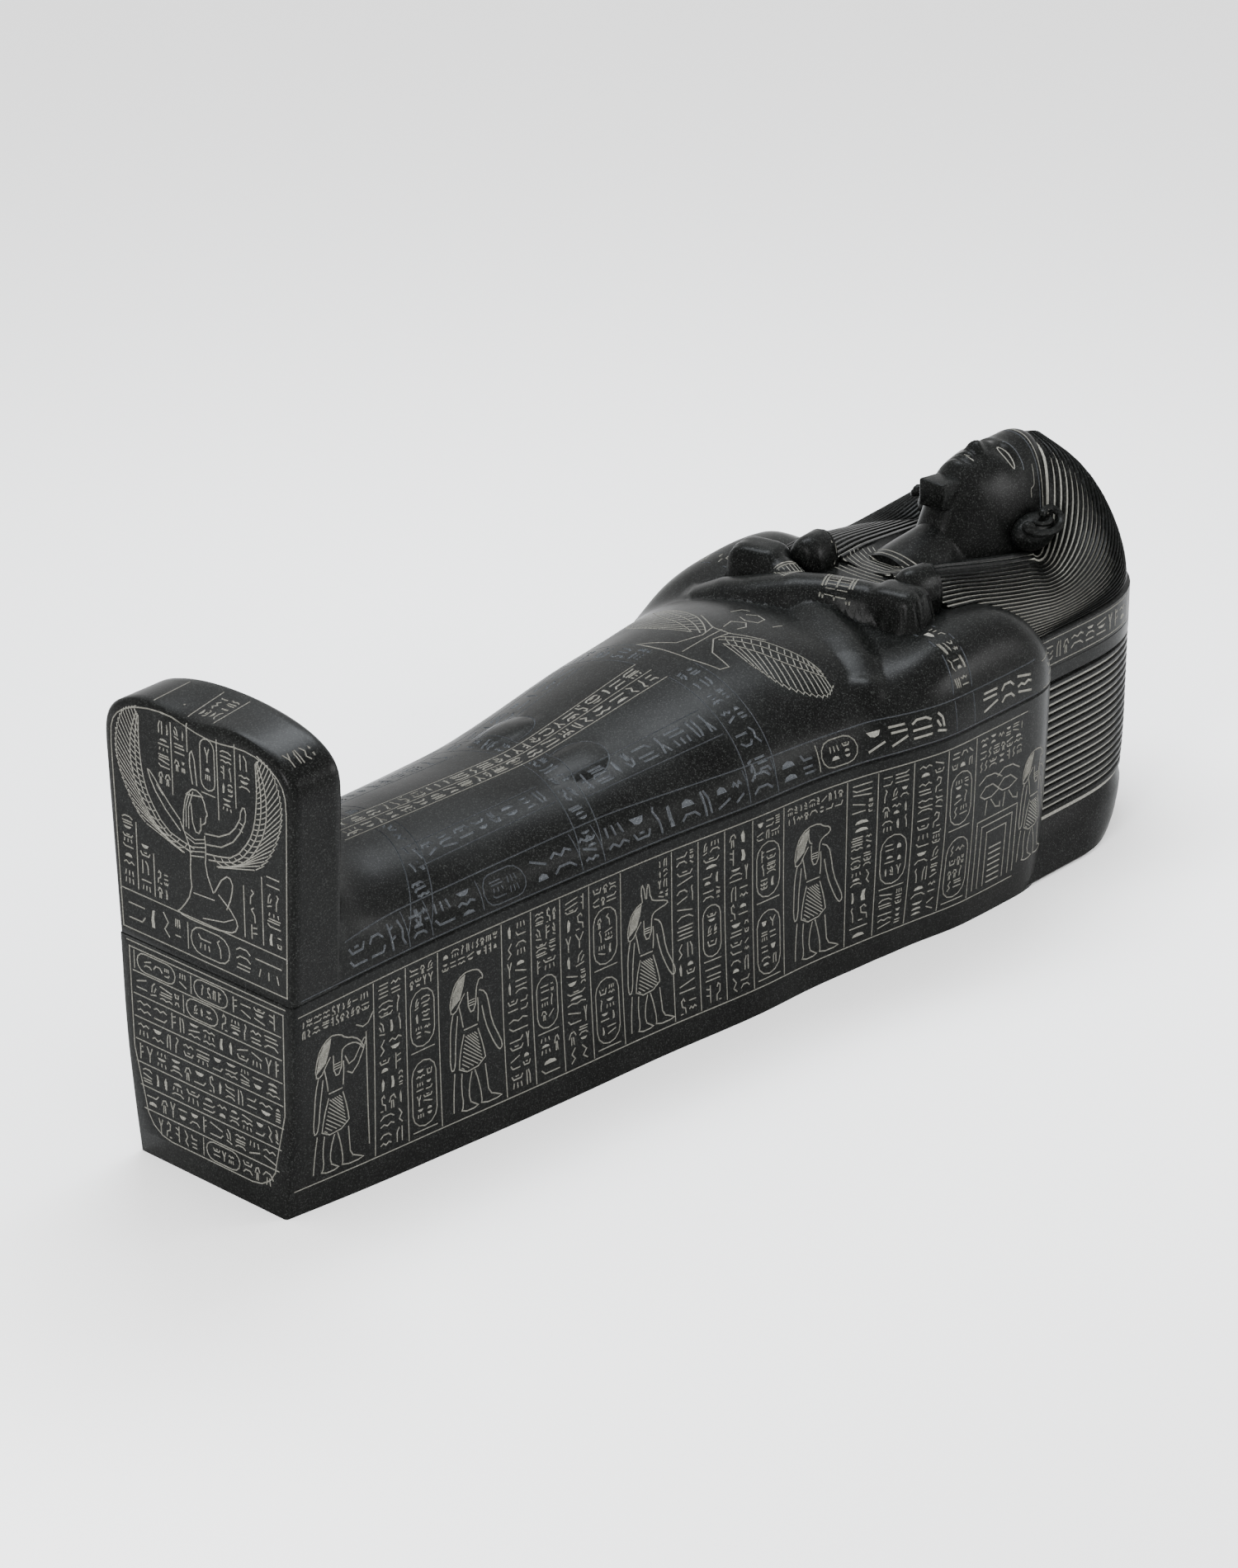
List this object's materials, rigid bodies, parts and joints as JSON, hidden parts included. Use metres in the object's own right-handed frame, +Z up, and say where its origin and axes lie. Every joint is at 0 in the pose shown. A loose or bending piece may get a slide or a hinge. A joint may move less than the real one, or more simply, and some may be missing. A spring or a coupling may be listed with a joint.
{
  "type": "stone sarcophagus",
  "caption": "Mummy-shaped stone inner coffin: hollow carved chest under a lift-off lid with crossed arms, wig, beard and an upright foot plate.",
  "frame": {"origin": "middle of the footprint, on the floor", "axes": "+X from the feet to the head, +Z up, so the figure lies on its back"},
  "size_m": [2.25, 0.7084, 0.877],
  "materials": {
    "stone": "dark grey-green granodiorite, satin polish, pale cut lines"
  },
  "bodies": {
    "root": {"chest": "stone", "lid": "stone"}
  },
  "joints": []
}
